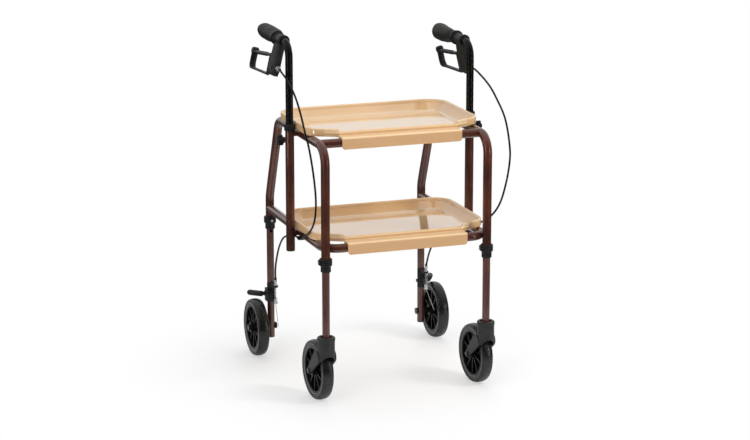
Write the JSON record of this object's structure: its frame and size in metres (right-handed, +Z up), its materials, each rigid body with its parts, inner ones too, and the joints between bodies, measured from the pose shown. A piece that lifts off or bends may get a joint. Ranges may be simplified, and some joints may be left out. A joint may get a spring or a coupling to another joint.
{
  "type": "indoor walker with tray",
  "caption": "Indoor trolley walker: a bent-tube frame on casters and braked wheels, with lift-off trays and height-adjustable handles with loop brake levers.",
  "frame": {"origin": "middle of the footprint on the floor, midway between the outer faces of the wheels and midway between the casters' sockets' fronts and the rear tyres' backs", "axes": "+Z up, -Y the walker's front where the casters are, +Y towards the user, +X the user's left"},
  "size_m": [0.5524, 0.5644, 0.8981],
  "materials": {
    "frame_paint": "gloss bronze",
    "tray_plastic": "gloss tan",
    "black_plastic": "satin black",
    "handle_paint": "gloss black",
    "grip_rubber": "matte dark grey",
    "bracket_paint": "satin black",
    "bright_steel": "bright",
    "cable_cover": "satin black",
    "tyre_rubber": "matte dark grey"
  },
  "bodies": {
    "frame": {"right_side_frame": "frame_paint", "left_side_frame": "frame_paint", "lower_rail": "frame_paint", "front_crossbar": "frame_paint", "handle_posts": "frame_paint", "tube_collars": "black_plastic", "cable_clips": "black_plastic", "right_rear_button": "bright_steel", "right_front_button": "bright_steel", "left_rear_button": "bright_steel", "left_front_button": "bright_steel"},
    "upper_tray": {"upper_tray": "tray_plastic"},
    "lower_tray": {"lower_tray": "tray_plastic"},
    "right_handle": {"right_handle_tube": "handle_paint", "right_grip": "grip_rubber", "right_brake_housing": "black_plastic", "right_lever_pin": "bright_steel", "right_cable_adjuster": "bright_steel", "right_upper_cable": "cable_cover"},
    "right_lever": {"right_brake_lever": "black_plastic"},
    "right_knob": {"right_clamp_knob": "black_plastic"},
    "right_rear_leg": {"right_rear_leg": "frame_paint", "right_brake_bracket": "bracket_paint", "right_rear_fasteners": "bright_steel", "right_leg_adjuster": "bright_steel", "right_lower_cable": "cable_cover", "right_return_spring": "bright_steel"},
    "right_brake": {"right_brake_arm": "bracket_paint", "right_cable_anchor": "bright_steel"},
    "right_rear_wheel": {"right_rear_hub": "black_plastic", "right_rear_tyre": "tyre_rubber"},
    "right_front_leg": {"right_front_leg": "frame_paint"},
    "right_fork": {"right_caster_fork": "black_plastic", "right_caster_axle": "bright_steel"},
    "right_caster_wheel": {"right_caster_hub": "black_plastic", "right_caster_tyre": "tyre_rubber"},
    "left_handle": {"left_handle_tube": "handle_paint", "left_grip": "grip_rubber", "left_brake_housing": "black_plastic", "left_lever_pin": "bright_steel", "left_cable_adjuster": "bright_steel", "left_upper_cable": "cable_cover"},
    "left_lever": {"left_brake_lever": "black_plastic"},
    "left_knob": {"left_clamp_knob": "black_plastic"},
    "left_rear_leg": {"left_rear_leg": "frame_paint", "left_brake_bracket": "bracket_paint", "left_rear_fasteners": "bright_steel", "left_leg_adjuster": "bright_steel", "left_lower_cable": "cable_cover", "left_return_spring": "bright_steel"},
    "left_brake": {"left_brake_arm": "bracket_paint", "left_cable_anchor": "bright_steel"},
    "left_rear_wheel": {"left_rear_hub": "black_plastic", "left_rear_tyre": "tyre_rubber"},
    "left_front_leg": {"left_front_leg": "frame_paint"},
    "left_fork": {"left_caster_fork": "black_plastic", "left_caster_axle": "bright_steel"},
    "left_caster_wheel": {"left_caster_hub": "black_plastic", "left_caster_tyre": "tyre_rubber"}
  },
  "joints": [
    {"name": "upper_tray_lift", "type": "slide", "parent": "frame", "child": "upper_tray", "axis": [0, 0, 1], "range_m": [0, 0.08]},
    {"name": "lower_tray_lift", "type": "slide", "parent": "frame", "child": "lower_tray", "axis": [0, 0, 1], "range_m": [0, 0.08]},
    {"name": "right_handle_slide", "type": "slide", "parent": "frame", "child": "right_handle", "axis": [0, 0, 1], "range_m": [-0.075, 0.05], "deforming": ["right_upper_cable"]},
    {"name": "right_lever_squeeze", "type": "hinge", "parent": "right_handle", "child": "right_lever", "pos_m": [-0.25717, -0.00225, 0.80882], "axis": [0.9744, 0, -0.225], "range_deg": [0, 10], "stiffness_Nm_per_rad": 6, "springref_deg": -5.73},
    {"name": "right_knob_turn", "type": "hinge", "parent": "frame", "child": "right_knob", "pos_m": [-0.2412, -0.06525, 0.637], "axis": [1, 0, 0], "continuous": true},
    {"name": "right_rear_leg_slide", "type": "slide", "parent": "frame", "child": "right_rear_leg", "axis": [0, 0, -1], "range_m": [0, 0.03], "deforming": ["right_rear_button", "right_lower_cable"]},
    {"name": "right_brake_press", "type": "hinge", "parent": "right_rear_leg", "child": "right_brake", "pos_m": [-0.2125, 0.18425, 0.17], "axis": [-1, 0, 0], "range_deg": [0, 7], "stiffness_Nm_per_rad": 1.5, "springref_deg": -5.73, "deforming": ["right_return_spring"]},
    {"name": "right_rear_wheel_spin", "type": "hinge", "parent": "right_rear_leg", "child": "right_rear_wheel", "pos_m": [-0.2532, 0.20625, 0.076], "axis": [1, 0, 0], "continuous": true},
    {"name": "right_front_leg_slide", "type": "slide", "parent": "frame", "child": "right_front_leg", "axis": [0, 0, -1], "range_m": [0, 0.03], "deforming": ["right_front_button"]},
    {"name": "right_caster_swivel", "type": "hinge", "parent": "right_front_leg", "child": "right_fork", "pos_m": [-0.2125, -0.25975, 0.15], "axis": [0, 0, 1], "continuous": true},
    {"name": "right_caster_spin", "type": "hinge", "parent": "right_fork", "child": "right_caster_wheel", "pos_m": [-0.21598, -0.20286, 0.076], "axis": [0.9981, 0.061, 0], "continuous": true},
    {"name": "left_handle_slide", "type": "slide", "parent": "frame", "child": "left_handle", "axis": [0, 0, 1], "range_m": [-0.05, 0.075], "deforming": ["left_upper_cable"]},
    {"name": "left_lever_squeeze", "type": "hinge", "parent": "left_handle", "child": "left_lever", "pos_m": [0.25717, -0.00225, 0.78382], "axis": [0.9744, 0, 0.225], "range_deg": [0, 10], "stiffness_Nm_per_rad": 6, "springref_deg": -5.73},
    {"name": "left_knob_turn", "type": "hinge", "parent": "frame", "child": "left_knob", "pos_m": [0.2412, -0.06525, 0.637], "axis": [1, 0, 0], "continuous": true},
    {"name": "left_rear_leg_slide", "type": "slide", "parent": "frame", "child": "left_rear_leg", "axis": [0, 0, -1], "range_m": [0, 0.03], "deforming": ["left_rear_button", "left_lower_cable"]},
    {"name": "left_brake_press", "type": "hinge", "parent": "left_rear_leg", "child": "left_brake", "pos_m": [0.2125, 0.18425, 0.17], "axis": [-1, 0, 0], "range_deg": [0, 7], "stiffness_Nm_per_rad": 1.5, "springref_deg": -5.73, "deforming": ["left_return_spring"]},
    {"name": "left_rear_wheel_spin", "type": "hinge", "parent": "left_rear_leg", "child": "left_rear_wheel", "pos_m": [0.2532, 0.20625, 0.076], "axis": [1, 0, 0], "continuous": true},
    {"name": "left_front_leg_slide", "type": "slide", "parent": "frame", "child": "left_front_leg", "axis": [0, 0, -1], "range_m": [0, 0.03], "deforming": ["left_front_button"]},
    {"name": "left_caster_swivel", "type": "hinge", "parent": "left_front_leg", "child": "left_fork", "pos_m": [0.2125, -0.25975, 0.15], "axis": [0, 0, 1], "continuous": true},
    {"name": "left_caster_spin", "type": "hinge", "parent": "left_fork", "child": "left_caster_wheel", "pos_m": [0.20902, -0.20286, 0.076], "axis": [0.9981, 0.061, 0], "continuous": true}
  ],
  "couplings": [
    {"joint": "right_brake_press", "follows": "right_lever_squeeze", "ratio": 0.7},
    {"joint": "left_brake_press", "follows": "left_lever_squeeze", "ratio": 0.7}
  ]
}
